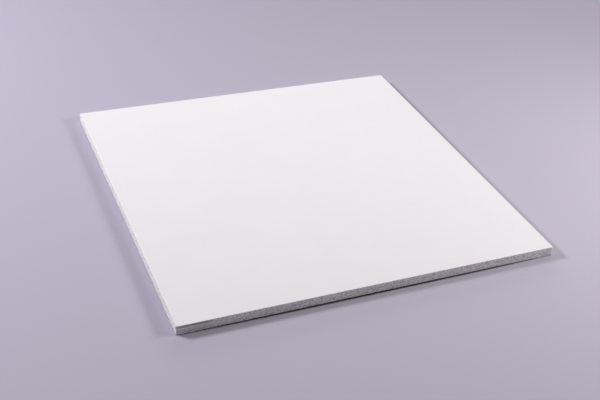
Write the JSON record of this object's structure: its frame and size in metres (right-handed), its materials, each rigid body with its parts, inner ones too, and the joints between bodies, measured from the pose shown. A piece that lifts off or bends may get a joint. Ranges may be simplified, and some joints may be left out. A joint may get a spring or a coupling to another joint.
{
  "type": "acoustic ceiling panel",
  "caption": "Square lay-in acoustic ceiling board with square-cut edges and a smooth matt white face, for a suspended grid.",
  "frame": {"origin": "middle of the back face, which lies on the floor", "axes": "+Z out of the white face; +X and +Y along the sides, the pictured front edge facing -Y"},
  "size_m": [0.6032, 0.6032, 0.0159],
  "materials": {
    "painted_fibre_board": "felted mineral-fibre board with a smooth matt white painted face and a grainy off-white painted edge"
  },
  "bodies": {
    "root": {"ceiling_panel": "painted_fibre_board"}
  },
  "joints": []
}
